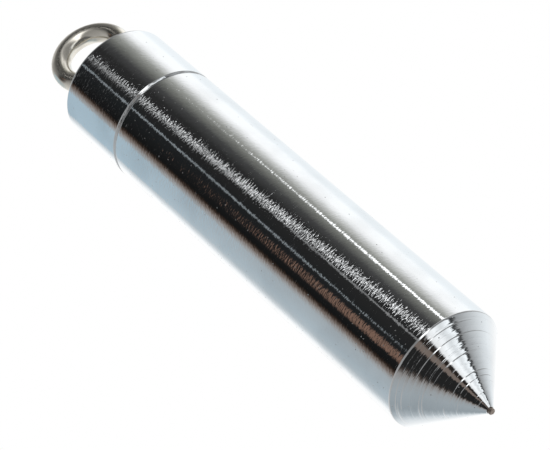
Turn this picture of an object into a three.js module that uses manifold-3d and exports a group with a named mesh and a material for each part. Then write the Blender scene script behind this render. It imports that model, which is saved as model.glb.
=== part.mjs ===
// A plumb bob: a turned and chromed steel bob with a pressed-in hard point, a cap that screws
// into its top, and a ring eye that swivels in the cap on a washer and two locked nuts.
//
// Millimetres. The bob hangs point down: the origin is the very tip, +Z runs up the axis to the
// eye, and the ring of the eye lies in the XZ plane.

import * as THREE from 'three';
import { mergeVertices } from 'three/addons/utils/BufferGeometryUtils.js';
import Module from 'manifold-3d';

const wasm = await Module();
wasm.setup();

// ---------------------------------------------------------------- driving dimensions

const BOB_RADIUS = 10;          // of the bob and of its cap
const CYLINDER_LENGTH = 69;     // from the base of the cone to the seam
const CONE_HEIGHT = 10.05;      // from the base of the cone to its blunt end
const CAP_HEIGHT = 14.1;        // the part of the cap that shows
const SPIGOT_LENGTH = 8;        // the threaded part of the cap that goes into the bob

const SEAM_GAP = 0.05;          // between the bob's top face and the cap's shoulder
const SEAM_BEVEL = 0.12;        // on the bob's top edge
const SHOULDER_BEVEL = 0.3;     // on the cap's lower edge
const RIM_ROUNDING = 0.45;      // on the cap's top edge

const POINT_RADIUS = 0.5;
const POINT_LENGTH = 6.6;
const POINT_STICKOUT = 0.6;     // beyond the blunt end of the cone
const EDGE_CHAMFER = 0.08;       // on the ends of the pin and on the collar of the eye
const POINT_FIT_GAP = 0.015;    // between the pressed pin and its hole
const POINT_HOLE_SPARE = 0.2;   // depth of the hole beyond the pin
const BLUNT_END_RADIUS = 0.66;

const BORE_DEPTH = 12.5;        // of the bob's tapped hole, to its full diameter
const DRILL_POINT_ANGLE = THREE.MathUtils.degToRad(59);   // half of a 118 degree drill
const MOUTH_CHAMFER = 1;
const TAPPED_DEPTH = 10.8;

const RING_MEAN_RADIUS = 5.48;
const WIRE_RADIUS = 1.62;
const RING_HEIGHT = 8.1;        // of the ring's centre above the cap's top face
const RING_OFFSET = 0.5;        // of the ring's centre from the shank's axis, as the ring is bent
const COLLAR_RADIUS = 2.8;
const COLLAR_THICKNESS = 0.6;
const NECK_RADIUS = 1.9;
const SHANK_LENGTH = 20;
const SHANK_RADIUS = 1.9;
const EYE_FLOAT = 0.1;          // end play of the swivel, all of it under the collar

const WEB_THICKNESS = 13.2;     // of the cap, between its top face and its counterbore
const SHANK_HOLE_RADIUS = 2.15;
const HOLE_CHAMFER = 0.2;
const COUNTERBORE_RADIUS = 4.9;
const WASHER_RADIUS = 4.5;
const WASHER_THICKNESS = 0.8;
const NUT_ACROSS_FLATS = 7;
const NUT_THICKNESS = 3.2;
const LOCK_NUT_THICKNESS = 2.2;
const STACK_GAP = 0.02;         // between the stacked faces of web, washer and nuts

// M14 x 1.5, cap into bob. The root radii are those of the spigot's core and of the drilled hole.
const CAP_THREAD = {
  pitch: 1.5,
  stepsPerTurn: 28,
  coreRadius: 6.1,
  crestRadius: 6.85,
  crestWidth: 0.25,
  holeRadius: 6.25,
  grooveRadius: 7.05,
  flankGap: 0.1,
};

// M4 x 0.7, nuts on the shank of the eye.
const SHANK_THREAD = {
  pitch: 0.7,
  stepsPerTurn: 12,
  coreRadius: 1.62,
  crestRadius: 1.96,
  crestWidth: 0.12,
  holeRadius: 1.7,
  grooveRadius: 2.05,
  flankGap: 0.04,
};

const FLANK_SLOPE = Math.tan(THREE.MathUtils.degToRad(30));   // both threads are 60 degree threads
const THREAD_SUNK = 0.15;       // how far a ridge or cutter starts inside what it joins or cuts
const RUN_OUT_TURNS = 0.35;
const RUN_OUT_FLOOR = 0.08;     // share of the ridge's depth left at the end of its run-out
const RELIEF_WIDTH = 1.3;       // undercut between the spigot's thread and the shoulder
const RELIEF_DEPTH = 0.2;

const OUTER_FACETS = 56;
const SMALL_FACETS = 24;
const WIRE_FACETS = 12;
const RING_FACETS = 40;
const ROUNDING_STEPS = 3;
const CUT_SPARE = 1;            // how far a cutter runs on past the face that it opens
const MERGE_DISTANCE = 1e-5;

// ---------------------------------------------------------------- derived heights

const CONE_BASE = POINT_STICKOUT + CONE_HEIGHT;
const BOB_TOP = CONE_BASE + CYLINDER_LENGTH;
const CAP_SHOULDER = BOB_TOP + SEAM_GAP;
const CAP_TOP = CAP_SHOULDER + CAP_HEIGHT;
const EYE_SEAT = CAP_TOP + EYE_FLOAT;
const WEB_UNDERSIDE = CAP_TOP - WEB_THICKNESS;
const WASHER_BOTTOM = WEB_UNDERSIDE - STACK_GAP - WASHER_THICKNESS;
const NUT_BOTTOM = WASHER_BOTTOM - STACK_GAP - NUT_THICKNESS;
const LOCK_NUT_BOTTOM = NUT_BOTTOM - STACK_GAP - LOCK_NUT_THICKNESS;

// ---------------------------------------------------------------- solids and geometry

// A closed three.js geometry as a solid that can be joined and cut.
function solidFrom(geometry) {
  const bare = geometry.clone();
  bare.deleteAttribute('normal');
  bare.deleteAttribute('uv');
  const merged = mergeVertices(bare, MERGE_DISTANCE);
  const corners = merged.index.array;
  const triangles = [];
  for (let i = 0; i < corners.length; i += 3) {
    const [a, b, c] = [corners[i], corners[i + 1], corners[i + 2]];
    if (a !== b && b !== c && c !== a) {
      triangles.push(a, b, c);
    }
  }
  return new wasm.Manifold(new wasm.Mesh({
    numProp: 3,
    vertProperties: Float32Array.from(merged.attributes.position.array),
    triVerts: Uint32Array.from(triangles),
  }));
}

function geometryFrom(solid) {
  const mesh = solid.getMesh();
  const geometry = new THREE.BufferGeometry();
  geometry.setAttribute('position', new THREE.BufferAttribute(mesh.vertProperties, 3));
  geometry.setIndex(new THREE.BufferAttribute(mesh.triVerts, 1));
  geometry.computeVertexNormals();
  return geometry;
}

// Turns a profile of [radius, height] points about the Z axis. The profile runs outward along
// the bottom, up the outside and back in along the top.
function turned(profile, facets) {
  const points = profile.map(([radius, height]) => new THREE.Vector2(radius, height));
  return solidFrom(new THREE.LatheGeometry(points, facets).rotateX(Math.PI / 2));
}

// The points of a quarter round between two angles, about a centre in a turned profile.
function rounding(centreRadius, centreHeight, radius, fromAngle, toAngle) {
  const points = [];
  for (let step = 0; step <= ROUNDING_STEPS; step += 1) {
    const angle = THREE.MathUtils.lerp(fromAngle, toAngle, step / ROUNDING_STEPS);
    points.push([centreRadius + radius * Math.cos(angle), centreHeight + radius * Math.sin(angle)]);
  }
  return points;
}

// A bar of trapezoid section bent into a right-hand helix about Z. The helix crosses the XZ
// plane at the height of datum, and both of its ends run out into its root.
function helicalBar({ rootRadius, tipRadius, tipWidth, pitch, stepsPerTurn, datum, from, to }) {
  const firstStep = Math.floor((from - datum) / pitch * stepsPerTurn);
  const lastStep = Math.ceil((to - datum) / pitch * stepsPerTurn);
  const count = lastStep - firstStep;
  const runOut = RUN_OUT_TURNS * stepsPerTurn;
  const rootWidth = tipWidth + 2 * (tipRadius - rootRadius) * FLANK_SLOPE;
  const bar = new THREE.BoxGeometry(1, 1, count, 1, 1, count);
  const place = bar.attributes.position;
  for (let i = 0; i < place.count; i += 1) {
    const along = count / 2 - place.getZ(i);
    const toNearEnd = Math.min(along, count - along) / runOut;
    const depth = (place.getX(i) + 0.5) * THREE.MathUtils.clamp(toNearEnd, RUN_OUT_FLOOR, 1);
    const radius = THREE.MathUtils.lerp(rootRadius, tipRadius, depth);
    const width = THREE.MathUtils.lerp(rootWidth, tipWidth, depth);
    const turns = (firstStep + along) / stepsPerTurn;
    const angle = 2 * Math.PI * turns;
    const height = datum + pitch * turns + place.getY(i) * width;
    place.setXYZ(i, radius * Math.cos(angle), radius * Math.sin(angle), height);
  }
  return solidFrom(bar);
}

// The ridge of a screw's thread, ready to be joined to its core.
function threadRidge(thread, datum, from, to) {
  return helicalBar({
    rootRadius: thread.coreRadius - THREAD_SUNK,
    tipRadius: thread.crestRadius,
    tipWidth: thread.crestWidth,
    pitch: thread.pitch,
    stepsPerTurn: thread.stepsPerTurn,
    datum,
    from,
    to,
  });
}

// The cutter of the matching tapped hole, wider than the ridge by the flank gap on each side.
function threadCutter(thread, datum, from, to) {
  const beyondCrest = thread.grooveRadius - thread.crestRadius;
  return helicalBar({
    rootRadius: thread.holeRadius - THREAD_SUNK,
    tipRadius: thread.grooveRadius,
    tipWidth: thread.crestWidth - 2 * beyondCrest * FLANK_SLOPE + 2 * thread.flankGap,
    pitch: thread.pitch,
    stepsPerTurn: thread.stepsPerTurn,
    datum,
    from,
    to,
  });
}

// ---------------------------------------------------------------- the pieces

// The blind hole that the cap screws into, open at the bob's top face.
function tappedHole() {
  const { holeRadius, pitch, stepsPerTurn } = CAP_THREAD;
  const boreEnd = BOB_TOP - BORE_DEPTH;
  const hole = turned([
    [0, boreEnd - holeRadius / Math.tan(DRILL_POINT_ANGLE)],
    [holeRadius, boreEnd],
    [holeRadius, BOB_TOP - MOUTH_CHAMFER],
    [holeRadius + MOUTH_CHAMFER + CUT_SPARE, BOB_TOP + CUT_SPARE],
    [0, BOB_TOP + CUT_SPARE],
  ], stepsPerTurn);
  return hole.add(threadCutter(CAP_THREAD, BOB_TOP, BOB_TOP - TAPPED_DEPTH, BOB_TOP + pitch));
}

// The bob, from its tip at z = 0: cone, cylinder, bevelled top edge, and a hole in each end.
function bobBody() {
  const pinHole = POINT_RADIUS + POINT_FIT_GAP;
  const blank = turned([
    [0, POINT_STICKOUT],
    [BLUNT_END_RADIUS, POINT_STICKOUT],
    [BOB_RADIUS, CONE_BASE],
    [BOB_RADIUS, BOB_TOP - SEAM_BEVEL],
    [BOB_RADIUS - SEAM_BEVEL, BOB_TOP],
    [0, BOB_TOP],
  ], OUTER_FACETS);
  const pointHole = turned([
    [0, POINT_STICKOUT - CUT_SPARE],
    [pinHole, POINT_STICKOUT - CUT_SPARE],
    [pinHole, POINT_LENGTH + POINT_HOLE_SPARE],
    [0, POINT_LENGTH + POINT_HOLE_SPARE],
  ], SMALL_FACETS);
  return blank.subtract(tappedHole()).subtract(pointHole);
}

// The hardened point pin, from its tip at z = 0.
function pointPin() {
  return turned([
    [0, 0],
    [POINT_RADIUS - EDGE_CHAMFER, 0],
    [POINT_RADIUS, EDGE_CHAMFER],
    [POINT_RADIUS, POINT_LENGTH - EDGE_CHAMFER],
    [POINT_RADIUS - EDGE_CHAMFER, POINT_LENGTH],
    [0, POINT_LENGTH],
  ], SMALL_FACETS);
}

// The threaded spigot under the cap, from the shoulder at z = 0 down.
function spigot() {
  const { coreRadius, crestRadius, pitch, stepsPerTurn } = CAP_THREAD;
  const end = -SPIGOT_LENGTH;
  const threadTop = -RELIEF_WIDTH;
  const flank = crestRadius - coreRadius + 2 * RELIEF_DEPTH;
  const reliefRadius = coreRadius - RELIEF_DEPTH;
  const core = turned([
    [0, end],
    [reliefRadius, end],
    [coreRadius, end + RELIEF_DEPTH],
    [coreRadius, threadTop],
    [reliefRadius, threadTop + RELIEF_DEPTH],
    [reliefRadius, CUT_SPARE],
    [0, CUT_SPARE],
  ], stepsPerTurn);
  const envelope = turned([
    [0, end],
    [reliefRadius, end],
    [reliefRadius + flank, end + flank],
    [reliefRadius + flank, threadTop + RELIEF_DEPTH - flank],
    [reliefRadius, threadTop + RELIEF_DEPTH],
    [0, threadTop + RELIEF_DEPTH],
  ], stepsPerTurn);
  const ridge = threadRidge(CAP_THREAD, -SEAM_GAP, end - pitch, 0);
  return core.add(ridge.intersect(envelope));
}

// The hole through the cap: the shank's clearance above, the nuts' counterbore below.
function swivelHole() {
  const webUnderside = CAP_HEIGHT - WEB_THICKNESS;
  return turned([
    [0, -SPIGOT_LENGTH - CUT_SPARE],
    [COUNTERBORE_RADIUS, -SPIGOT_LENGTH - CUT_SPARE],
    [COUNTERBORE_RADIUS, webUnderside],
    [SHANK_HOLE_RADIUS, webUnderside],
    [SHANK_HOLE_RADIUS, CAP_HEIGHT - HOLE_CHAMFER],
    [SHANK_HOLE_RADIUS + HOLE_CHAMFER + CUT_SPARE, CAP_HEIGHT + CUT_SPARE],
    [0, CAP_HEIGHT + CUT_SPARE],
  ], SMALL_FACETS);
}

// The cap, from its shoulder at z = 0.
function screwCap() {
  const head = turned([
    [0, 0],
    [BOB_RADIUS - SHOULDER_BEVEL, 0],
    [BOB_RADIUS, SHOULDER_BEVEL],
    ...rounding(BOB_RADIUS - RIM_ROUNDING, CAP_HEIGHT - RIM_ROUNDING, RIM_ROUNDING, 0, Math.PI / 2),
    [0, CAP_HEIGHT],
  ], OUTER_FACETS);
  return head.add(spigot()).subtract(swivelHole());
}

// The eye, from the underside of its collar at z = 0: ring above, threaded shank below.
function cordEye() {
  const { coreRadius, pitch, stepsPerTurn } = SHANK_THREAD;
  const shankEnd = -SHANK_LENGTH;
  const threadEnd = -WEB_THICKNESS;
  const endChamfer = SHANK_THREAD.crestRadius - coreRadius;
  const ringCentre = RING_HEIGHT - EYE_FLOAT;
  const ring = new THREE.TorusGeometry(RING_MEAN_RADIUS, WIRE_RADIUS, WIRE_FACETS, RING_FACETS);
  ring.rotateX(Math.PI / 2).translate(RING_OFFSET, 0, ringCentre);
  const stem = turned([
    [0, shankEnd],
    [coreRadius - endChamfer, shankEnd],
    [coreRadius, shankEnd + endChamfer],
    [coreRadius, threadEnd - pitch / 2],
    [SHANK_RADIUS, threadEnd],
    [SHANK_RADIUS, 0],
    [COLLAR_RADIUS - EDGE_CHAMFER, 0],
    [COLLAR_RADIUS, EDGE_CHAMFER],
    [COLLAR_RADIUS, COLLAR_THICKNESS],
    [NECK_RADIUS, COLLAR_THICKNESS + COLLAR_RADIUS - NECK_RADIUS],
    [0, ringCentre - RING_MEAN_RADIUS],
  ], stepsPerTurn);
  const ridge = threadRidge(SHANK_THREAD, 0, shankEnd + endChamfer, threadEnd);
  return solidFrom(ring).add(stem).add(ridge);
}

// The plain washer that the swivel turns on, from its lower face at z = 0.
function swivelWasher() {
  return turned([
    [SHANK_HOLE_RADIUS, 0],
    [WASHER_RADIUS, 0],
    [WASHER_RADIUS, WASHER_THICKNESS],
    [SHANK_HOLE_RADIUS, WASHER_THICKNESS],
    [SHANK_HOLE_RADIUS, 0],
  ], SMALL_FACETS);
}

// A hexagon nut with bevelled corners, from its lower face at z = 0. Its thread crosses the XZ
// plane at the height of datum.
function hexNut(thickness, datum) {
  const { holeRadius, grooveRadius, pitch } = SHANK_THREAD;
  const flat = NUT_ACROSS_FLATS / 2;
  const corner = flat / Math.cos(Math.PI / 6);
  const bevel = (corner - flat) * FLANK_SLOPE;
  const hexagon = new THREE.CylinderGeometry(corner, corner, thickness, 6);
  hexagon.rotateX(Math.PI / 2).translate(0, 0, thickness / 2);
  const envelope = turned([
    [0, 0],
    [flat, 0],
    [corner, bevel],
    [corner, thickness - bevel],
    [flat, thickness],
    [0, thickness],
  ], SMALL_FACETS);
  const countersink = grooveRadius - holeRadius;
  const hole = turned([
    [0, -countersink],
    [grooveRadius + countersink, -countersink],
    [holeRadius, countersink],
    [holeRadius, thickness - countersink],
    [grooveRadius + countersink, thickness + countersink],
    [0, thickness + countersink],
  ], SHANK_THREAD.stepsPerTurn);
  const cutter = threadCutter(SHANK_THREAD, datum, -pitch, thickness + pitch);
  return solidFrom(hexagon).intersect(envelope).subtract(hole).subtract(cutter);
}

// ---------------------------------------------------------------- materials

const chrome = new THREE.MeshStandardMaterial({ color: 0xc4ccd1, metalness: 1, roughness: 0.12 });
const nickel = new THREE.MeshStandardMaterial({ color: 0xcfcabb, metalness: 1, roughness: 0.1 });
const bareSteel = new THREE.MeshStandardMaterial({ color: 0x8a7f76, metalness: 1, roughness: 0.5 });
const zinc = new THREE.MeshStandardMaterial({ color: 0xa9adb0, metalness: 1, roughness: 0.35 });

// ---------------------------------------------------------------- assembly

function piece(name, solid, material, height) {
  const mesh = new THREE.Mesh(geometryFrom(solid), material);
  mesh.name = name;
  mesh.position.z = height;
  return mesh;
}

// The height, above a nut's own lower face, at which the shank's thread crosses the XZ plane.
function nutDatum(nutBottom) {
  return (EYE_SEAT - nutBottom) % SHANK_THREAD.pitch;
}

const plumbBob = new THREE.Group();

const bob = new THREE.Group();
bob.add(piece('bob_body', bobBody(), chrome, 0));
bob.add(piece('point_pin', pointPin(), bareSteel, 0));

const cap = new THREE.Group();
cap.add(piece('screw_cap', screwCap(), chrome, CAP_SHOULDER));
cap.add(piece('swivel_washer', swivelWasher(), zinc, WASHER_BOTTOM));

const eye = new THREE.Group();
eye.add(piece('cord_eye', cordEye(), nickel, EYE_SEAT));
eye.add(piece('swivel_nut', hexNut(NUT_THICKNESS, nutDatum(NUT_BOTTOM)), zinc, NUT_BOTTOM));
eye.add(piece('lock_nut', hexNut(LOCK_NUT_THICKNESS, nutDatum(LOCK_NUT_BOTTOM)), zinc, LOCK_NUT_BOTTOM));

plumbBob.add(bob, cap, eye);

export default plumbBob;
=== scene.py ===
"""The plumb bob's looks: fine turned meshes, plated metals, and the studio that they mirror.

Lengths are in millimetres until a mesh or an object is made. The bob hangs point down on +Z.
"""
import math
import random

import bmesh
import bpy
import numpy as np
from mathutils import Matrix, Vector


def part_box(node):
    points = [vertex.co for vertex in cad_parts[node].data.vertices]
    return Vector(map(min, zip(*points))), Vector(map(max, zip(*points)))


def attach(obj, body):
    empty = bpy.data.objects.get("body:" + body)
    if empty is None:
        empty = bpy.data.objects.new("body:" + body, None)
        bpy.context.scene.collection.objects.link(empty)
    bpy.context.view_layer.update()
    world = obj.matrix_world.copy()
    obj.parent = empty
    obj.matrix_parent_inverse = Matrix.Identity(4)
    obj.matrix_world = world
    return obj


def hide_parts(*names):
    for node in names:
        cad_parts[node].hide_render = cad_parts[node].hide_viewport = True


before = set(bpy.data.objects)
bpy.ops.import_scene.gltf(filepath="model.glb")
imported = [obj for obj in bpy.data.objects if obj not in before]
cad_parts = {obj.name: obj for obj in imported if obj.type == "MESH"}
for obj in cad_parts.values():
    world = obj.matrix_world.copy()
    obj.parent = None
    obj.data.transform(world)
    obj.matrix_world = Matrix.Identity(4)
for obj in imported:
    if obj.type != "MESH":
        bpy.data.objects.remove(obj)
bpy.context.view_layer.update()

MM = 0.001
TAU = 2 * math.pi

# ---------------------------------------------------------------- levels from the frame

def level(node, corner):
    """The height of a CAD node's lowest (0) or highest (1) corner."""
    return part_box(node)[corner].z / MM


TIP = level("point_pin", 0)
BOB_TOP = level("bob_body", 1)
CAP_TOP = level("screw_cap", 1)
SPIGOT_END = level("screw_cap", 0)
WASHER_BOTTOM = level("swivel_washer", 0)
NUT_BOTTOM = level("swivel_nut", 0)
NUT_TOP = level("swivel_nut", 1)
LOCK_NUT_BOTTOM = level("lock_nut", 0)
LOCK_NUT_TOP = level("lock_nut", 1)
SHANK_END = level("cord_eye", 0)
RING_TOP = level("cord_eye", 1)
BOB_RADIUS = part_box("bob_body")[1].x / MM

# ---------------------------------------------------------------- dimensions of the pieces

CYLINDER_LENGTH = 69.0
POINT_STICKOUT = 0.6
POINT_RADIUS = 0.5
POINT_LENGTH = level("point_pin", 1)
POINT_HOLE_RADIUS = 0.515
POINT_HOLE_END = POINT_LENGTH + 0.2
BLUNT_END_RADIUS = 0.66
CONE_BASE = BOB_TOP - CYLINDER_LENGTH
CONE_EDGE_ROUNDING = 0.4

SEAM_GAP = 0.05
SEAM_BEVEL = 0.24
SHOULDER_BEVEL = 0.3
SHOULDER_DISH = 0.18
RIM_ROUNDING = 0.45
CAP_SHOULDER = BOB_TOP + SEAM_GAP

BORE_DEPTH = 12.5
DRILL_POINT_ANGLE = math.radians(59)
MOUTH_CHAMFER = 1.0
TAPPED_DEPTH = 10.2
RELIEF_WIDTH = 1.3
RELIEF_DEPTH = 0.2

WEB_THICKNESS = 13.2
WEB_UNDERSIDE = CAP_TOP - WEB_THICKNESS
SHANK_HOLE_RADIUS = 2.15
HOLE_CHAMFER = 0.2
COUNTERBORE_RADIUS = 4.9

RING_MEAN_RADIUS = 5.48
WIRE_RADIUS = 1.62
RING_OFFSET = 0.5
RING_CENTRE = RING_TOP - RING_MEAN_RADIUS - WIRE_RADIUS
EYE_SEAT = CAP_TOP + 0.1
COLLAR_RADIUS = 2.8
COLLAR_THICKNESS = 0.6
# The neck spreads this far along the wire and wraps this far round it, ends just under the wire's
# surface (a share of its radius), and is drawn in to a waist a little above the collar.
NECK_RADIUS = 1.9
NECK_SPREAD = math.radians(26)
NECK_WRAP = math.radians(66)
NECK_SINK = 0.985
NECK_WAIST = NECK_RADIUS * 0.82
NECK_WAIST_HEIGHT = 0.175
SHANK_RADIUS = 1.9
PLAIN_SHANK = WEB_THICKNESS

WASHER_RADIUS = 4.5
WASHER_THICKNESS = 0.8
WASHER_ROUNDING = 0.12
NUT_ACROSS_FLATS = 7.0

FLANK_SLOPE = math.tan(math.radians(30))
# core and crest are the screw's radii, hole and groove the tapped hole's, and gap is the clearance
# between their flanks.
CAP_THREAD = {
    "pitch": 1.5,
    "core": 6.1,
    "crest": 6.85,
    "crest_width": 0.25,
    "hole": 6.25,
    "groove": 7.05,
    "gap": 0.1,
}
SHANK_THREAD = {
    "pitch": 0.7,
    "core": 1.62,
    "crest": 1.96,
    "crest_width": 0.12,
    "hole": 1.7,
    "groove": 2.05,
    "gap": 0.04,
}
NUT_COUNTERSINK = 0.4

# Meshes: edges sharper than this are shaded as edges, points closer than these (in metres) are
# merged, and a long flat stretch has its last row of points EDGE_ROW from its end, so that it is
# shaded flat.
SHARP_ANGLE = math.radians(24)
MERGE_DISTANCE = 2e-7
JOIN_DISTANCE = 4e-6
EDGE_ROW = 0.1
COLUMNS = 240
SMALL_COLUMNS = 96
POINT_COLUMNS = 64

# ---------------------------------------------------------------- mesh helpers


def mesh_object(name, vertices, faces):
    """A smooth-shaded object of merged vertices, sharp where its faces meet at a real edge."""
    mesh = bpy.data.meshes.new(name)
    mesh.from_pydata(vertices, [], faces)
    clean_up(mesh, MERGE_DISTANCE)
    piece = bpy.data.objects.new(name, mesh)
    bpy.context.scene.collection.objects.link(piece)
    return piece


def clean_up(mesh, distance):
    """Merges points closer than a distance, and shades the mesh smooth between its real edges."""
    shape = bmesh.new()
    shape.from_mesh(mesh)
    bmesh.ops.remove_doubles(shape, verts=shape.verts, dist=distance)
    bmesh.ops.dissolve_degenerate(shape, edges=shape.edges, dist=distance)
    shape.to_mesh(mesh)
    shape.free()
    mesh.polygons.foreach_set("use_smooth", [True] * len(mesh.polygons))
    mesh.set_sharp_from_angle(angle=SHARP_ANGLE)


def revolved(name, profile_at, columns=COLUMNS):
    """A body turned about Z. profile_at(angle) gives its points outward along the bottom, up the
    outside and back in along the top, as many at every angle. A point is a radius, a height and
    sometimes a shift along X."""
    vertices = []
    for column in range(columns + 1):
        angle = TAU * column / columns
        for radius, height, *shift in profile_at(angle):
            x = radius * math.cos(angle) + sum(shift)
            vertices.append((x * MM, radius * math.sin(angle) * MM, height * MM))
    rows = len(vertices) // (columns + 1)
    faces = []
    for column in range(columns):
        for row in range(rows - 1):
            low = column * rows + row
            faces.append((low, low + rows, low + rows + 1, low + 1))
    return mesh_object(name, vertices, faces)


def rounded(corner_radius, corner_height, size, start, end, steps=5):
    """The points of a rounding about a centre in a profile, between two angles in degrees."""
    points = []
    for step in range(steps + 1):
        angle = math.radians(start + (end - start) * step / steps)
        points.append((corner_radius + size * math.cos(angle), corner_height + size * math.sin(angle)))
    return points


def subdivided(points, parts):
    """The same line of points with every stretch cut into equal parts."""
    finer = []
    for (r0, z0), (r1, z1) in zip(points, points[1:]):
        for part in range(parts):
            share = part / parts
            finer.append((r0 + (r1 - r0) * share, z0 + (z1 - z0) * share))
    finer.append(points[-1])
    return finer


def thread_line(root, tip, tip_width, pitch, datum, low, high, angle):
    """One side of a screw thread from low to high, as it is cut by the half plane at an angle.
    root and tip are radii: the tip is outward on a screw and in a tapped hole alike."""
    root_half = tip_width / 2 + abs(tip - root) * FLANK_SLOPE
    first = math.floor((low - datum) / pitch) - 1
    last = math.ceil((high - datum) / pitch) + 1
    corners = []
    for turn in range(first, last + 1):
        middle = datum + pitch * (turn + angle / TAU)
        corners.append((root, middle - root_half))
        corners.append((tip, middle - tip_width / 2))
        corners.append((tip, middle + tip_width / 2))
        corners.append((root, middle + root_half))
    corners = subdivided(corners, 2)
    heights = [z for _, z in corners]
    radii = [r for r, _ in corners]
    clamped = [min(max(z, low), high) for z in heights]
    return list(zip(np.interp(clamped, heights, radii), clamped))


def screw_line(thread, datum, low, high, angle, lead=0.0):
    """The outside of a screw, with a 45 degree chamfer at each end, made shallower by lead."""
    core, crest = thread["core"], thread["crest"]
    line = thread_line(core, crest, thread["crest_width"], thread["pitch"], datum, low, high, angle)
    points = []
    for radius, height in line:
        chamfer = core - RELIEF_DEPTH + lead + min(height - low, high - height)
        points.append((min(radius, chamfer), height))
    return points


def tapped_line(thread, datum, low, high, angle, chamfer_low, chamfer_high):
    """The inside of a tapped hole, from high down to low, with countersinks of given depth."""
    hole, groove = thread["hole"], thread["groove"]
    width = thread["crest_width"] - 2 * (groove - thread["crest"]) * FLANK_SLOPE + 2 * thread["gap"]
    line = thread_line(hole, groove, width, thread["pitch"], datum, low, high, angle)
    points = []
    for radius, height in reversed(line):
        countersink = hole + max(chamfer_low - (height - low), chamfer_high - (high - height), 0)
        points.append((max(radius, countersink), height))
    return points


# ---------------------------------------------------------------- the bob

CONE_ROWS = 300
CONE_RUN = BOB_RADIUS - BLUNT_END_RADIUS
CONE_RISE = CONE_BASE - POINT_STICKOUT
CONE_SLANT = math.hypot(CONE_RUN, CONE_RISE)

# The cone's tool marks. A score is a ring that fades round the cone from its deepest side, the
# faster the larger its spread.
CONE_SEED = 11
FEED_PITCH = 0.92
FEED_DEPTH = 0.0075
FEED_WANDER = 0.012
CUT_NOISE = 0.0012
SCORE_COUNT = 70
SCORE_DEPTHS = (0.002, 0.005, 0.011, 0.019)
SCORE_WIDTHS = (0.05, 0.09)
SCORE_SPREADS = (2, 16)


def cone_marks():
    """The tool marks on the cone: how far up its slant the rows lie, the height of the scallops
    that the tool left there, and score rings as (place, depth, width, side, spread)."""
    draw = random.Random(CONE_SEED)
    rows = np.linspace(0, CONE_SLANT, CONE_ROWS + 1)
    wander = np.cumsum([draw.gauss(0, FEED_WANDER) for _ in rows])
    within = (rows / FEED_PITCH + wander) % 1
    scallops = FEED_DEPTH * (2 * within - 1) ** 2
    rough = np.convolve([draw.gauss(0, CUT_NOISE) for _ in rows], [0.2, 0.6, 0.2], "same")
    scores = []
    for _ in range(SCORE_COUNT):
        place = draw.uniform(0.02, 0.97) * CONE_SLANT
        depth = draw.choice(SCORE_DEPTHS)
        width = draw.uniform(*SCORE_WIDTHS)
        side = draw.uniform(0, TAU)
        scores.append((place, depth, width, side, draw.uniform(*SCORE_SPREADS)))
    smooth_ends = np.clip(np.minimum(rows, CONE_SLANT - rows) * 2, 0, 1)
    return rows, (scallops + rough) * smooth_ends, scores


SLANT_ROWS, SCALLOPS, SCORES = cone_marks()


def cone_line(angle):
    """The cone from its blunt end to its base, with its tool marks, at an angle."""
    raised = SCALLOPS.copy()
    for place, depth, width, side, spread in SCORES:
        around = math.exp(-spread * (1 - math.cos(angle - side)))
        raised -= depth * around * np.exp(-(((SLANT_ROWS - place) / width) ** 2))
    radii = BLUNT_END_RADIUS + (SLANT_ROWS * CONE_RUN + raised * CONE_RISE) / CONE_SLANT
    heights = POINT_STICKOUT + (SLANT_ROWS * CONE_RISE - raised * CONE_RUN) / CONE_SLANT
    return list(zip(radii, heights))


def cone_and_edge(angle):
    """The cone, stopped short for the rounding at its base, and the rounding itself."""
    half_angle = math.atan2(CONE_RUN, CONE_RISE)
    setback = CONE_EDGE_ROUNDING * math.tan(half_angle / 2)
    rows_lost = math.ceil(setback / SLANT_ROWS[1])
    start = -math.degrees(half_angle)
    edge = rounded(BOB_RADIUS - CONE_EDGE_ROUNDING, CONE_BASE + setback, CONE_EDGE_ROUNDING, start, 0, 10)
    return cone_line(angle)[:CONE_ROWS - rows_lost] + edge


def bob_profile(angle):
    """The bob from the end of its point hole, over the cone and the cylinder, into its bore."""
    bore_end = BOB_TOP - BORE_DEPTH
    thread_end = BOB_TOP - TAPPED_DEPTH
    hole = CAP_THREAD["hole"]
    bevel = BOB_RADIUS - SEAM_BEVEL
    return [
        (0, POINT_HOLE_END),
        (POINT_HOLE_RADIUS, POINT_HOLE_END),
        (POINT_HOLE_RADIUS, POINT_STICKOUT + 0.05),
        (POINT_HOLE_RADIUS + 0.03, POINT_STICKOUT),
        *cone_and_edge(angle),
        (BOB_RADIUS, CONE_BASE + 0.3),
        (BOB_RADIUS, CONE_BASE + 2),
        (BOB_RADIUS, BOB_TOP - 2),
        (BOB_RADIUS, BOB_TOP - SEAM_BEVEL - EDGE_ROW),
        *rounded(bevel, BOB_TOP - SEAM_BEVEL, SEAM_BEVEL, 0, 90),
        (bevel - EDGE_ROW, BOB_TOP),
        (hole + MOUTH_CHAMFER + EDGE_ROW / 2, BOB_TOP),
        *tapped_line(CAP_THREAD, BOB_TOP, thread_end, BOB_TOP, angle, 0, MOUTH_CHAMFER),
        (hole, thread_end - EDGE_ROW),
        (hole, bore_end),
        (0, bore_end - hole / math.tan(DRILL_POINT_ANGLE)),
    ]


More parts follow.
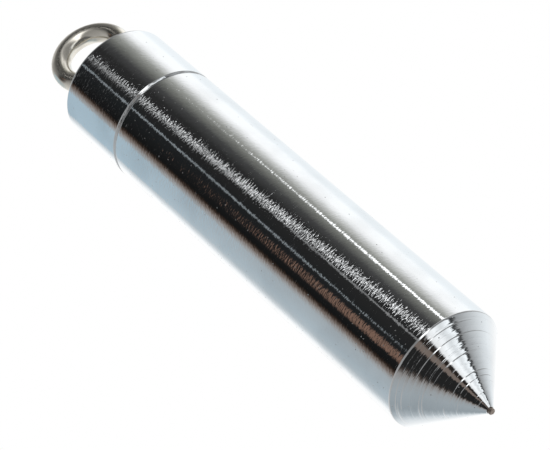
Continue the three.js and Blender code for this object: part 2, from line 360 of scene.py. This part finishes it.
def point_profile(angle):
    """The pin, with a parted-off end that is a little ragged."""
    ragged = 0.035 * math.sin(3 * angle + 1) + 0.02 * math.sin(7 * angle)
    end = TIP + 0.03 + ragged * 0.6
    radius = POINT_RADIUS + ragged * 0.25
    top = POINT_LENGTH
    return [
        (0, TIP + 0.02),
        (radius * 0.3, TIP + 0.035),
        (radius * 0.62, end - 0.01),
        (radius * 0.84, end),
        (radius * 0.97, end + 0.06),
        (radius, end + 0.14),
        (radius * 0.99, TIP + 0.32),
        (radius * 0.97, TIP + 0.42),
        (POINT_RADIUS * 0.98, POINT_STICKOUT - 0.03),
        (POINT_RADIUS, POINT_STICKOUT + 0.2),
        (POINT_RADIUS, top - 0.1),
        (POINT_RADIUS - 0.08, top),
        (0, top),
    ]


# ---------------------------------------------------------------- the cap, the eye and its fixings


def shoulder_edge(height):
    """The bevel round the cap's shoulder, from its foot at a height up to the cap's side."""
    foot = BOB_RADIUS - SHOULDER_BEVEL
    top = height + SHOULDER_BEVEL
    return [
        (foot - 1, height),
        (foot - EDGE_ROW, height),
        (foot, height),
        (foot + 0.015, height + 0.018),
        (foot + 0.04, height + 0.043),
        (BOB_RADIUS - 0.05, top - 0.047),
        (BOB_RADIUS - 0.02, top - 0.014),
        (BOB_RADIUS, top + 0.03),
        (BOB_RADIUS, top + EDGE_ROW),
    ]


def cap_profile(angle):
    """The cap from its spigot's end up round its outside and down its shank hole."""
    thread_top = CAP_SHOULDER - RELIEF_WIDTH
    relief = CAP_THREAD["core"] - RELIEF_DEPTH
    chamfer_edge = SHANK_HOLE_RADIUS + HOLE_CHAMFER
    rim = BOB_RADIUS - RIM_ROUNDING
    return [
        (COUNTERBORE_RADIUS, SPIGOT_END + EDGE_ROW),
        (COUNTERBORE_RADIUS + EDGE_ROW, SPIGOT_END),
        *screw_line(CAP_THREAD, BOB_TOP, SPIGOT_END, thread_top, angle),
        (relief, thread_top + EDGE_ROW / 2),
        (relief, CAP_SHOULDER),
        (relief + 0.5, CAP_SHOULDER),
        *shoulder_edge(CAP_SHOULDER + SHOULDER_DISH),
        (BOB_RADIUS, CAP_SHOULDER + 1.5),
        (BOB_RADIUS, CAP_TOP - 1.5),
        (BOB_RADIUS, CAP_TOP - RIM_ROUNDING - 0.15),
        *rounded(rim, CAP_TOP - RIM_ROUNDING, RIM_ROUNDING, 0, 90, 8),
        (rim - 0.15, CAP_TOP),
        (chamfer_edge + EDGE_ROW, CAP_TOP),
        (chamfer_edge, CAP_TOP),
        (SHANK_HOLE_RADIUS, CAP_TOP - HOLE_CHAMFER),
        (SHANK_HOLE_RADIUS, WEB_UNDERSIDE + EDGE_ROW),
        (SHANK_HOLE_RADIUS + EDGE_ROW, WEB_UNDERSIDE),
        (COUNTERBORE_RADIUS, WEB_UNDERSIDE),
        (COUNTERBORE_RADIUS, SPIGOT_END + EDGE_ROW),
    ]


def washer_profile(angle):
    low = WASHER_BOTTOM
    high = WASHER_BOTTOM + WASHER_THICKNESS
    rim = WASHER_RADIUS - WASHER_ROUNDING
    return [
        (SHANK_HOLE_RADIUS, low + 0.05),
        (SHANK_HOLE_RADIUS + 0.05, low),
        *rounded(rim, low + WASHER_ROUNDING, WASHER_ROUNDING, -90, 0, 3),
        *rounded(rim, high - WASHER_ROUNDING, WASHER_ROUNDING, 0, 90, 3),
        (SHANK_HOLE_RADIUS + 0.1, high),
        (SHANK_HOLE_RADIUS, high - 0.1),
        (SHANK_HOLE_RADIUS, low + 0.05),
    ]


def nut_profile(low, high):
    """The profile of a hexagon nut between two heights, flat by flat round the nut."""
    flat = NUT_ACROSS_FLATS / 2
    face = flat * 0.96

    def at(angle):
        from_flat = (angle + math.pi / 6) % (math.pi / 3) - math.pi / 6
        across = flat / math.cos(from_flat)
        bevel = max((across - face) * FLANK_SLOPE, 0.02)
        inside = tapped_line(SHANK_THREAD, EYE_SEAT, low, high, angle, NUT_COUNTERSINK, NUT_COUNTERSINK)
        return [
            inside[-1],
            (face, low),
            (across, low + bevel),
            (across, high - bevel),
            (face, high),
            *inside,
        ]

    return at


def stem_profile(angle):
    """The eye's shank and collar, closed off inside the ring's wire."""
    thread_end = EYE_SEAT - PLAIN_SHANK
    collar_top = EYE_SEAT + COLLAR_THICKNESS
    return [
        (0, SHANK_END),
        *screw_line(SHANK_THREAD, EYE_SEAT, SHANK_END, thread_end, angle, RELIEF_DEPTH),
        (SHANK_RADIUS, thread_end + 0.3),
        (SHANK_RADIUS, EYE_SEAT - EDGE_ROW),
        (SHANK_RADIUS, EYE_SEAT),
        (COLLAR_RADIUS - 0.15, EYE_SEAT),
        *rounded(COLLAR_RADIUS - 0.12, EYE_SEAT + 0.12, 0.12, -60, 0, 3),
        *rounded(COLLAR_RADIUS - 0.2, collar_top - 0.2, 0.2, 0, 80, 4),
        *neck_line(angle),
        (0, RING_CENTRE - RING_MEAN_RADIUS, RING_OFFSET),
    ]


def neck_line(angle, steps=14):
    """A fillet from the collar's top up on to the ring's wire, meeting it just under its surface
    and moving over to the ring's own centre line on the way."""
    start = Vector((NECK_RADIUS + 0.5, EYE_SEAT + COLLAR_THICKNESS))
    along_wire = NECK_SPREAD * math.cos(angle)
    round_wire = NECK_WRAP * math.sin(angle)
    reach = RING_MEAN_RADIUS + WIRE_RADIUS * math.cos(round_wire) * NECK_SINK
    meet_x = reach * math.sin(along_wire)
    meet_y = WIRE_RADIUS * math.sin(round_wire) * NECK_SINK
    meet = Vector((math.hypot(meet_x, meet_y), RING_CENTRE - reach * math.cos(along_wire)))
    waist = Vector((NECK_WAIST, start.y + (meet.y - start.y) * NECK_WAIST_HEIGHT))
    points = []
    for step in range(steps + 1):
        t = step / steps
        point = start * (1 - t) ** 2 + waist * 2 * t * (1 - t) + meet * t * t
        points.append((point.x, point.y, RING_OFFSET * t))
    return points


def ring_object(name, around=128, across=40):
    """The ring of the eye, upright in the XZ plane."""
    vertices = []
    for i in range(around):
        turn = TAU * i / around
        for j in range(across):
            tilt = TAU * j / across
            reach = RING_MEAN_RADIUS + WIRE_RADIUS * math.cos(tilt)
            vertices.append((
                (RING_OFFSET + reach * math.cos(turn)) * MM,
                WIRE_RADIUS * math.sin(tilt) * MM,
                (RING_CENTRE + reach * math.sin(turn)) * MM,
            ))
    faces = []
    for i in range(around):
        for j in range(across):
            here, onward = i * across, (i + 1) % around * across
            up = (j + 1) % across
            faces.append((here + j, here + up, onward + up, onward + j))
    return mesh_object(name, vertices, faces)


def eye_object(name):
    """The ring and its stem, joined into one closed body."""
    eye = revolved(name, stem_profile, SMALL_COLUMNS)
    ring = ring_object("ring_to_join")
    join = eye.modifiers.new("join", "BOOLEAN")
    join.operation = "UNION"
    join.solver = "EXACT"
    join.object = ring
    evaluated = eye.evaluated_get(bpy.context.evaluated_depsgraph_get())
    joined = bpy.data.meshes.new_from_object(evaluated)
    eye.modifiers.clear()
    eye.data = joined
    bpy.data.objects.remove(ring)
    clean_up(joined, JOIN_DISTANCE)
    return eye


# ---------------------------------------------------------------- materials


class Graph:
    """Short calls for wiring a node tree."""

    def __init__(self, tree):
        self.tree = tree
        self.tree.nodes.clear()

    def node(self, kind, inputs=(), **settings):
        """A new node of a kind, with values or links for its inputs by name."""
        made = self.tree.nodes.new(kind)
        for key, value in settings.items():
            setattr(made, key, value)
        for key, value in dict(inputs).items():
            self.feed(made.inputs[key], value)
        return made

    def feed(self, socket, value):
        """Links a socket to another one, or sets it to a constant."""
        if isinstance(value, bpy.types.NodeSocket):
            self.tree.links.new(value, socket)
        else:
            socket.default_value = value

    def math(self, operation, *values):
        made = self.tree.nodes.new("ShaderNodeMath")
        made.operation = operation
        for socket, value in zip(made.inputs, values):
            self.feed(socket, value)
        return made.outputs[0]

    def dot(self, vector, direction):
        made = self.node("ShaderNodeVectorMath", operation="DOT_PRODUCT")
        self.feed(made.inputs[0], vector)
        made.inputs[1].default_value = direction
        return made.outputs["Value"]

    def ease(self, value, low, high, to_low=0.0, to_high=1.0):
        """value taken smoothly from [low, high] to [to_low, to_high], and held beyond."""
        made = self.node("ShaderNodeMapRange", interpolation_type="SMOOTHSTEP")
        self.feed(made.inputs["Value"], value)
        made.inputs["From Min"].default_value = low
        made.inputs["From Max"].default_value = high
        made.inputs["To Min"].default_value = to_low
        made.inputs["To Max"].default_value = to_high
        return made.outputs["Result"]

    def mix(self, factor, a, b):
        """The colour a where factor is 0, and b where it is 1."""
        made = self.node("ShaderNodeMix", data_type="RGBA")
        self.feed(made.inputs["Factor"], factor)
        self.feed(made.inputs[6], a)
        self.feed(made.inputs[7], b)
        return made.outputs[2]

    def noise(self, place, scale, detail):
        texture = self.node("ShaderNodeTexNoise", {"Vector": place, "Scale": scale, "Detail": detail})
        return texture.outputs["Fac"]

    def bump(self, height, depth, normal=None, strength=1.0):
        """A surface normal that is raised by height, over another normal where one is given."""
        made = self.node("ShaderNodeBump", {"Strength": strength, "Distance": depth, "Height": height})
        if normal is not None:
            self.feed(made.inputs["Normal"], normal)
        return made.outputs["Normal"]

    def ramp(self, value, stops):
        """The colour that stops, as (place from 0 to 1, colour), give at a value."""
        made = self.node("ShaderNodeValToRGB")
        band = made.color_ramp
        self.feed(made.inputs["Fac"], value)
        while len(band.elements) < len(stops):
            band.elements.new(1)
        for element, (place, colour) in zip(band.elements, stops):
            element.position = place
            element.color = colour
        return made.outputs["Color"]


def shown(red, green, blue):
    """The linear colour that is displayed as these shares of full red, green and blue."""
    linear = []
    for share in (red, green, blue):
        linear.append(((share + 0.055) / 1.055) ** 2.4 if share > 0.04 else share / 12.92)
    return (*linear, 1.0)


def grey(value, cool=0.0):
    """A displayed grey of 0 to 1, made cooler, or warmer if cool is negative."""
    return shown(max(value - 1.5 * cool, 0), value, max(value + 0.9 * cool, 0))


def new_material(name):
    """An empty material and the graph that wires it."""
    made = bpy.data.materials.new(name)
    made.use_nodes = True
    return made, Graph(made.node_tree)


def finish_metal(graph, colour, rough, normal):
    """A bare or plated metal surface of a colour, a roughness and a normal."""
    shader = graph.node("ShaderNodeBsdfPrincipled", {"Metallic": 1.0})
    graph.feed(shader.inputs["Base Color"], colour)
    graph.feed(shader.inputs["Roughness"], rough)
    graph.feed(shader.inputs["Normal"], normal)
    output = graph.node("ShaderNodeOutputMaterial")
    graph.feed(output.inputs["Surface"], shader.outputs["BSDF"])


CHROME = (0.62, 0.635, 0.645)
DULL_CHROME = tuple(share * 0.92 for share in CHROME)
PIT_COLOUR = (0.12, 0.11, 0.1)
RING_PITCH = 0.21 * MM
RING_DEPTH = 0.0016 * MM
RING_WANDER = 0.15 * MM
GRAIN_SIZE = 0.3 * MM
GRAIN_STRETCH = (0.4, 0.4, 1.0)
GRAIN_DEPTH = 0.0135 * MM
PIT_SPACING = 0.5 * MM
PIT_DEPTH = 0.02 * MM
PIT_SHARE = 0.07


def turning_lines(graph, place, depth):
    """The fine rings that a lathe tool leaves round the Z axis."""
    along = graph.node("ShaderNodeSeparateXYZ", {"Vector": place}).outputs["Z"]
    line = graph.math("MULTIPLY_ADD", graph.noise(place, 55.0, 2.0), RING_WANDER, along)
    settings = {"Scale": 1 / RING_PITCH, "Detail": 3.0, "Roughness": 0.6}
    rings = graph.node("ShaderNodeTexNoise", settings, noise_dimensions="1D")
    graph.feed(rings.inputs["W"], line)
    return graph.bump(rings.outputs["Fac"], depth)


def plating_grain(graph, place, normal, depth):
    """Short fine strokes in the plating, lying round the Z axis."""
    mapping = graph.node("ShaderNodeMapping", {"Vector": place, "Scale": GRAIN_STRETCH})
    strokes = graph.noise(mapping.outputs["Vector"], 1 / GRAIN_SIZE, 1.0)
    return graph.bump(strokes, depth, normal), strokes


def pits(graph, place, normal):
    """Scattered small pits in the plating: a share of the cells of a pattern hold one."""
    settings = {"Vector": place, "Scale": 1 / PIT_SPACING, "Randomness": 1.0}
    cells = graph.node("ShaderNodeTexVoronoi", settings, feature="F1")
    drawn = graph.node("ShaderNodeSeparateColor", {"Color": cells.outputs["Color"]})
    chosen = graph.math("LESS_THAN", drawn.outputs["Red"], PIT_SHARE)
    bowl = graph.ease(cells.outputs["Distance"], 0.06, 0.22, 1.0, 0.0)
    dent = graph.math("MULTIPLY", bowl, chosen)
    return graph.bump(dent, -PIT_DEPTH, normal), dent


def chrome_material(name, ring_depth, grain_depth):
    """Chrome over turned steel: bump from its lines, grain and pits, and a faint uneven polish."""
    made, graph = new_material(name)
    place = graph.node("ShaderNodeTexCoord").outputs["Object"]
    normal = turning_lines(graph, place, ring_depth)
    normal, strokes = plating_grain(graph, place, normal, grain_depth)
    normal, dent = pits(graph, place, normal)
    smudge = graph.noise(place, 160.0, 4.0)
    polish = graph.ease(smudge, 0.35, 0.75, 0.035, 0.075)
    hairlines = graph.ease(strokes, 0.62, 0.74, 0, 0.1)
    rough = graph.math("MULTIPLY_ADD", dent, 0.3, graph.math("ADD", polish, hairlines))
    colour = graph.mix(graph.ease(smudge, 0.4, 0.7), (*CHROME, 1), (*DULL_CHROME, 1))
    colour = graph.mix(dent, colour, (*PIT_COLOUR, 1))
    finish_metal(graph, colour, rough, normal)
    return made


def nickel_material():
    """Bright nickel with a faint swell from its polishing."""
    made, graph = new_material("bright_nickel")
    place = graph.node("ShaderNodeTexCoord").outputs["Object"]
    swell = graph.noise(place, 260.0, 1.0)
    colour = graph.mix(graph.ease(swell, 0.3, 0.7), (0.66, 0.63, 0.565, 1), (0.6, 0.575, 0.52, 1))
    rough = graph.ease(swell, 0.3, 0.8, 0.2, 0.25)
    finish_metal(graph, colour, rough, graph.bump(swell, 0.06 * MM))
    return made


def machined_material(name, light, dark, roughness, grain):
    """Unplated or zinc-plated steel, as hidden and small pieces have it."""
    made, graph = new_material(name)
    place = graph.node("ShaderNodeTexCoord").outputs["Object"]
    mottle = graph.noise(place, 1 / grain, 5.0)
    colour = graph.mix(graph.ease(mottle, 0.35, 0.65), (*dark, 1), (*light, 1))
    rough = graph.ease(mottle, 0.3, 0.7, roughness * 0.8, roughness * 1.25)
    finish_metal(graph, colour, rough, graph.bump(mottle, 0.012 * MM, strength=0.7))
    return made


# ---------------------------------------------------------------- pieces on their bodies


def place_piece(piece, body, node, slot, *materials):
    """Puts a piece with its materials on its body, in place of a CAD node. Its slot is not used."""
    for material in materials:
        piece.data.materials.append(material)
    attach(piece, body)
    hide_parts(node)


HAIR = 0.005  # makes a limit between two zones safe from rounding


def paint(piece, chooser):
    """Gives each face the material whose index chooser(radius, height) names for its centre."""
    for face in piece.data.polygons:
        centre = face.center / MM
        face.material_index = chooser(math.hypot(centre.x, centre.y), centre.z)


def bob_zone(radius, height):
    """0 on the cylinder, 1 on the cone and 2 in the two holes and on the face round the bore."""
    drill_point = CAP_THREAD["hole"] / math.tan(DRILL_POINT_ANGLE)
    at_bore = height > BOB_TOP - BORE_DEPTH - drill_point and radius < BOB_RADIUS - SEAM_BEVEL - HAIR
    in_point_hole = radius < POINT_HOLE_RADIUS + HAIR and height < POINT_HOLE_END + HAIR
    if at_bore or in_point_hole:
        return 2
    return 1 if height < CONE_BASE else 0


def cap_zone(radius, height):
    """0 on the cap's outside, and 1 on its spigot, under its shoulder and in its holes."""
    underside = height < CAP_SHOULDER + SHOULDER_DISH + HAIR
    inside = radius < COUNTERBORE_RADIUS + HAIR and height < CAP_TOP - HOLE_CHAMFER
    return 1 if underside or inside else 0


def build_pieces():
    """Every visible piece, made of its own material and riding on its own body."""
    chrome = chrome_material("turned_chrome", RING_DEPTH, GRAIN_DEPTH)
    cone_chrome = chrome_material("cone_chrome", RING_DEPTH * 2, GRAIN_DEPTH * 0.5)
    cut_steel = machined_material("cut_steel", (0.46, 0.45, 0.44), (0.36, 0.35, 0.34), 0.28, 0.4 * MM)
    point_steel = machined_material("point_steel", (0.32, 0.27, 0.235), (0.2, 0.17, 0.15), 0.5, 0.3 * MM)
    zinc = machined_material("zinc_plate", (0.62, 0.63, 0.66), (0.52, 0.53, 0.55), 0.3, 0.5 * MM)

    bob = revolved("bob_shell", bob_profile)
    place_piece(bob, "bob", "bob_body", "bob_chrome", chrome, cone_chrome, cut_steel)
    paint(bob, bob_zone)
    point = revolved("point_tip", point_profile, POINT_COLUMNS)
    place_piece(point, "bob", "point_pin", "point_steel", point_steel)
    cap = revolved("cap_shell", cap_profile)
    place_piece(cap, "cap", "screw_cap", "cap_chrome", chrome, cut_steel)
    paint(cap, cap_zone)
    washer = revolved("thrust_washer", washer_profile, SMALL_COLUMNS)
    place_piece(washer, "washer", "swivel_washer", "washer_zinc", zinc)
    place_piece(eye_object("ring_eye"), "eye", "cord_eye", "eye_nickel", nickel_material())
    nut = revolved("hex_nut", nut_profile(NUT_BOTTOM, NUT_TOP), SMALL_COLUMNS)
    place_piece(nut, "eye", "swivel_nut", "nut_zinc", zinc)
    thin_nut = revolved("thin_hex_nut", nut_profile(LOCK_NUT_BOTTOM, LOCK_NUT_TOP), SMALL_COLUMNS)
    place_piece(thin_nut, "eye", "lock_nut", "nut_zinc", zinc)


# ---------------------------------------------------------------- the studio

VIEW_AZIMUTH = math.radians(-15.53)
VIEW_ELEVATION = math.radians(-37.96)
VIEW_ROLL = math.radians(48.72)
VIEW_DISTANCE = 0.393
VIEW_AIM = Vector((-0.00037, 0.0001, 0.0507))
LENS = 170.2

FLOOR_LEVEL = -0.3
FLOOR_RADIUS = 2.5
FLOOR_PLAIN = 0.6
# The plate mirrors about 0.63 of what falls on it, so the studio is this much brighter than the
# colours that its tables give, which are the colours seen on the bob.
PLATE_GAIN = 1 / 0.63


def make_camera():
    """The viewer, below the hanging bob and looking up at its point."""
    camera = bpy.data.objects.new("camera", bpy.data.cameras.new("camera"))
    bpy.context.scene.collection.objects.link(camera)
    bpy.context.scene.camera = camera
    camera.data.lens = LENS
    camera.data.clip_start = 0.01
    back = Vector((
        math.sin(VIEW_AZIMUTH) * math.cos(VIEW_ELEVATION),
        -math.cos(VIEW_AZIMUTH) * math.cos(VIEW_ELEVATION),
        math.sin(VIEW_ELEVATION),
    ))
    level_turn = (-back).to_track_quat("-Z", "Y")
    turn = level_turn.to_matrix() @ Matrix.Rotation(-VIEW_ROLL, 3, "Z")
    camera.matrix_world = Matrix.Translation(VIEW_AIM + back * VIEW_DISTANCE) @ turn.to_4x4()


# What the bob mirrors, as bands round the studio. Each is a list of colours by azimuth, in degrees
# from the viewer's side and positive to the viewer's right. HIGH is what the cylinder mirrors, about
# 38 degrees up, and LOW is what the cone mirrors, below level. The ring mirrors the others, which are
# plain: from the floor up they are UNDER, LEVEL, OVER, then HIGH, CEILING and TOP.
HIGH = [
    (-180, grey(0.80)),
    (-168, grey(0.85)),
    (-156, grey(0.91)),
    (-144, grey(0.93)),
    (-136, grey(0.88, 0.01)),
    (-128, grey(0.79, 0.015)),
    (-119, grey(0.72, 0.025)),
    (-104, grey(0.70, 0.03)),
    (-76, grey(0.66, 0.02)),
    (-70, grey(0.60, 0.0)),
    (-64, grey(0.42, -0.03)),
    (-58, grey(0.15, -0.03)),
    (-54, grey(0.08)),
    (-26, grey(0.12, 0.005)),
    (-2, grey(0.14)),
    (28, grey(0.16)),
    (44, grey(0.26)),
    (56, shown(0.42, 0.422, 0.405)),
    (70, shown(0.578, 0.58, 0.56)),
    (80, shown(0.762, 0.762, 0.752)),
    (89, grey(0.92)),
    (98, grey(0.985)),
    (118, grey(0.985, 0.005)),
    (130, grey(0.925, 0.012)),
    (148, grey(0.88, 0.012)),
    (164, grey(0.845, 0.01)),
    (180, grey(0.79)),
]
LOW = [
    (-180, grey(0.87)),
    (-166, grey(0.90)),
    (-158, grey(0.935)),
    (-151, grey(0.90, 0.005)),
    (-144, grey(0.865, 0.01)),
    (-138, grey(0.81, 0.015)),
    (-131, grey(0.70, 0.02)),
    (-120, grey(0.61, 0.022)),
    (-90, grey(0.635, 0.02)),
    (-72, grey(0.61, 0.01)),
    (-60, grey(0.52, -0.01)),
    (-53, grey(0.22, -0.02)),
    (-46, grey(0.13)),
    (-5, grey(0.13)),
    (-2, grey(0.40, -0.03)),
    (10, grey(0.40, -0.03)),
    (13, grey(0.13, -0.015)),
    (24, grey(0.13, -0.01)),
    (29, grey(0.90)),
    (44, grey(1.0, 0.005)),
    (58, grey(0.87, 0.008)),
    (73, grey(1.02, 0.01)),
    (75, grey(0.2, 0.01)),
    (81, grey(0.26)),
    (86, grey(0.56, 0.004)),
    (104, grey(0.72, 0.008)),
    (122, grey(0.84, 0.01)),
    (137, grey(0.91, 0.01)),
    (156, grey(0.92)),
    (180, grey(0.87)),
]



def sides(behind, left, front, right):
    """A plain band of the studio from its greys behind the bob, at its sides and in front."""
    round_the_studio = ((-180, behind), (-90, left), (0, front), (90, right), (180, behind))
    return [(azimuth, grey(value)) for azimuth, value in round_the_studio]


UNDER = sides(behind=0.8, left=0.65, front=0.5, right=0.5)
LEVEL = sides(behind=0.9, left=0.7, front=0.5, right=0.55)
OVER = sides(behind=0.95, left=0.75, front=0.35, right=0.9)
CEILING = sides(behind=0.9, left=0.6, front=0.3, right=0.4)
TOP = sides(behind=0.8, left=0.55, front=0.4, right=0.4)
ZENITH = grey(0.65)
NADIR = grey(0.58)

# The bands above UNDER: between these two elevations, in degrees, each replaces the one below it.
BANDS = [
    (LEVEL, -8, 6),
    (OVER, 10, 19),
    (HIGH, 24, 31),
    (CEILING, 44.5, 50),
    (TOP, 58, 67),
]


# Narrow marks on HIGH: colour, azimuth at MARK_HEIGHT degrees up, degrees of azimuth that it leans
# for each degree up, half its width, and the elevations between which it fades in and out.
MARK_HEIGHT = 38.0
BROWN = (0.19, 0.115, 0.085, 1)
MARKS = [
    (BROWN, -37, -0.8, 9.0, (30, 32), (34.5, 38.2)),
    (grey(0.53, 0.015), -17, 0.2, 2.0, (33, 38), (50, 60)),
    (grey(0.5), 8, 0, 2.0, (10, 20), (37, 40)),
    (grey(1.08), 16, -2.75, 3.0, (25, 33), (38, 47)),
    (grey(1.15), 64, 0, 2.5, (10, 20), (37.2, 38.8)),
]

# A lamp in front and to the right, below level: its colour, its azimuths, its elevations and its
# soft edge. After it, the same for a cool window over the left side.
LAMP_COLOUR = grey(1.15)
LAMP_SIDES = (12, 32)
LAMP_HEIGHTS = (-60, 12)
LAMP_BLUR = 5
WINDOW_COLOUR = grey(0.71, 0.05)
WINDOW_SIDES = (-124, -74)
WINDOW_HEIGHTS = (40, 57)
WINDOW_BLUR = 2


def streak(graph, azimuth, elevation, centre, lean, half_width, fade_in, fade_out):
    """1 on a narrow slanted streak of the studio, 0 off it."""
    climb = graph.math("SUBTRACT", elevation, MARK_HEIGHT)
    drifted = graph.math("MULTIPLY_ADD", climb, -lean, azimuth)
    off = graph.math("ABSOLUTE", graph.math("SUBTRACT", drifted, centre))
    across = graph.ease(off, half_width * 0.4, half_width, 1.0, 0.0)
    above = graph.ease(elevation, *fade_in)
    below = graph.ease(elevation, *fade_out, 1.0, 0.0)
    return graph.math("MULTIPLY", across, graph.math("MULTIPLY", above, below))


# The cone mirrors a path round the studio that lies CONE_PATH_LOW degrees up in front of the viewer,
# and rises by CONE_PATH_RISE for each squared degree of azimuth. The edges of LOW lean as they cross
# the path, as far as SLANT_REACH degrees to each side of it: by LEANS degrees of azimuth for each
# degree up, from the first to the second over the azimuths LEAN_RISES, and then to none over
# LEAN_ENDS.
CONE_PATH_LOW = -53.0
CONE_PATH_RISE = 0.0025
SLANT_REACH = 18.0
LEANS = (0.4, 1.1)
LEAN_RISES = (25, 74)
LEAN_ENDS = (84, 98)


def around(graph, azimuth, bands):
    """The colour of one of the studio's tables at an azimuth in degrees."""
    share = graph.math("MULTIPLY_ADD", azimuth, 1 / 360, 0.5)
    return graph.ramp(share, [((place + 180) / 360, colour) for place, colour in bands])


def between(graph, value, ends, blur):
    """1 where a value lies between two ends, 0 outside them."""
    above = graph.ease(value, ends[0] - blur, ends[0] + blur)
    below = graph.ease(value, ends[1] - blur, ends[1] + blur, 1.0, 0.0)
    return graph.math("MULTIPLY", above, below)


def directions(graph):
    """The azimuth and elevation, in degrees, of the direction that the studio is seen in."""
    direction = graph.node("ShaderNodeTexCoord").outputs["Generated"]
    towards = (math.sin(VIEW_AZIMUTH), -math.cos(VIEW_AZIMUTH), 0)
    rightward = (math.cos(VIEW_AZIMUTH), math.sin(VIEW_AZIMUTH), 0)
    turn = graph.math("ARCTAN2", graph.dot(direction, rightward), graph.dot(direction, towards))
    rise = graph.math("ARCSINE", graph.dot(direction, (0, 0, 1)))
    azimuth = graph.math("MULTIPLY", turn, 180 / math.pi)
    elevation = graph.math("MULTIPLY", rise, 180 / math.pi)
    return azimuth, elevation


def patch(graph, azimuth, elevation, azimuths, elevations, blur):
    """1 in a patch of the studio between two azimuths and two elevations, 0 outside it."""
    along = between(graph, azimuth, azimuths, blur)
    up = between(graph, elevation, elevations, blur)
    return graph.math("MULTIPLY", along, up)


def upper_studio(graph, azimuth, elevation):
    """The bands from UNDER to TOP with the lamp in them, and the zenith over them."""
    colour = around(graph, azimuth, UNDER)
    for band, start, full in BANDS:
        colour = graph.mix(graph.ease(elevation, start, full), colour, around(graph, azimuth, band))
    lamp = patch(graph, azimuth, elevation, LAMP_SIDES, LAMP_HEIGHTS, LAMP_BLUR)
    colour = graph.mix(lamp, colour, LAMP_COLOUR)
    return graph.mix(graph.ease(elevation, 72, 80), colour, ZENITH)


def lower_studio(graph, azimuth, elevation, upper):
    """LOW along the cone's path, with the upper studio above it and the nadir below."""
    square = graph.math("MULTIPLY", azimuth, azimuth)
    path = graph.math("MULTIPLY_ADD", square, CONE_PATH_RISE, CONE_PATH_LOW)
    above_path = graph.math("SUBTRACT", elevation, path)
    slant = graph.ease(above_path, -SLANT_REACH, SLANT_REACH, -SLANT_REACH, SLANT_REACH)
    rising_lean = graph.ease(azimuth, *LEAN_RISES, *LEANS)
    still_leaning = graph.ease(azimuth, *LEAN_ENDS, 1.0, 0.0)
    lean = graph.math("MULTIPLY", rising_lean, still_leaning)
    slanted = graph.math("ADD", graph.math("MULTIPLY", slant, lean), azimuth)
    colour = graph.mix(graph.ease(above_path, 3.5, 8), around(graph, slanted, LOW), upper)
    return graph.mix(graph.ease(elevation, -67, -61), NADIR, colour)


def marked_studio(graph, azimuth, elevation, colour):
    """The studio with its cool window and its narrow marks."""
    window = patch(graph, azimuth, elevation, WINDOW_SIDES, WINDOW_HEIGHTS, WINDOW_BLUR)
    colour = graph.mix(window, colour, WINDOW_COLOUR)
    for mark_colour, *place in MARKS:
        colour = graph.mix(streak(graph, azimuth, elevation, *place), colour, mark_colour)
    return colour


def make_world():
    """The studio that the bob mirrors, with plain white behind the bob itself."""
    world = bpy.data.worlds.new("studio")
    bpy.context.scene.world = world
    world.use_nodes = True
    graph = Graph(world.node_tree)
    azimuth, elevation = directions(graph)
    upper = upper_studio(graph, azimuth, elevation)
    colour = lower_studio(graph, azimuth, elevation, upper)
    colour = marked_studio(graph, azimuth, elevation, colour)
    mirrored = graph.node("ShaderNodeBackground", {"Color": colour, "Strength": PLATE_GAIN})
    plain = graph.node("ShaderNodeBackground", {"Color": (1, 1, 1, 1), "Strength": 1.0})
    choice = graph.node("ShaderNodeMixShader")
    graph.feed(choice.inputs[0], graph.node("ShaderNodeLightPath").outputs["Is Camera Ray"])
    graph.feed(choice.inputs[1], mirrored.outputs[0])
    graph.feed(choice.inputs[2], plain.outputs[0])
    output = graph.node("ShaderNodeOutputWorld")
    graph.feed(output.inputs["Surface"], choice.outputs[0])


def make_floor():
    """A plain pale floor well under the hanging bob, fading into the white around it."""
    place = (0, 0, FLOOR_LEVEL)
    bpy.ops.mesh.primitive_circle_add(vertices=96, radius=FLOOR_RADIUS, fill_type="NGON", location=place)
    floor = bpy.context.object
    floor.name = "floor"
    floor.visible_glossy = False
    made, graph = new_material("pale_floor")
    reach = graph.node("ShaderNodeVectorMath", operation="LENGTH")
    graph.feed(reach.inputs[0], graph.node("ShaderNodeTexCoord").outputs["Object"])
    far = graph.ease(reach.outputs["Value"], FLOOR_PLAIN, FLOOR_RADIUS * 0.8)
    near = graph.node("ShaderNodeBsdfDiffuse", {"Color": (0.8, 0.8, 0.8, 1)})
    white = graph.node("ShaderNodeEmission", {"Color": (1, 1, 1, 1), "Strength": 1.0})
    blend = graph.node("ShaderNodeMixShader")
    graph.feed(blend.inputs[0], far)
    graph.feed(blend.inputs[1], near.outputs[0])
    graph.feed(blend.inputs[2], white.outputs[0])
    output = graph.node("ShaderNodeOutputMaterial")
    graph.feed(output.inputs["Surface"], blend.outputs[0])
    floor.data.materials.append(made)


bpy.context.scene.view_settings.view_transform = "Standard"
make_camera()
make_world()
make_floor()
build_pieces()
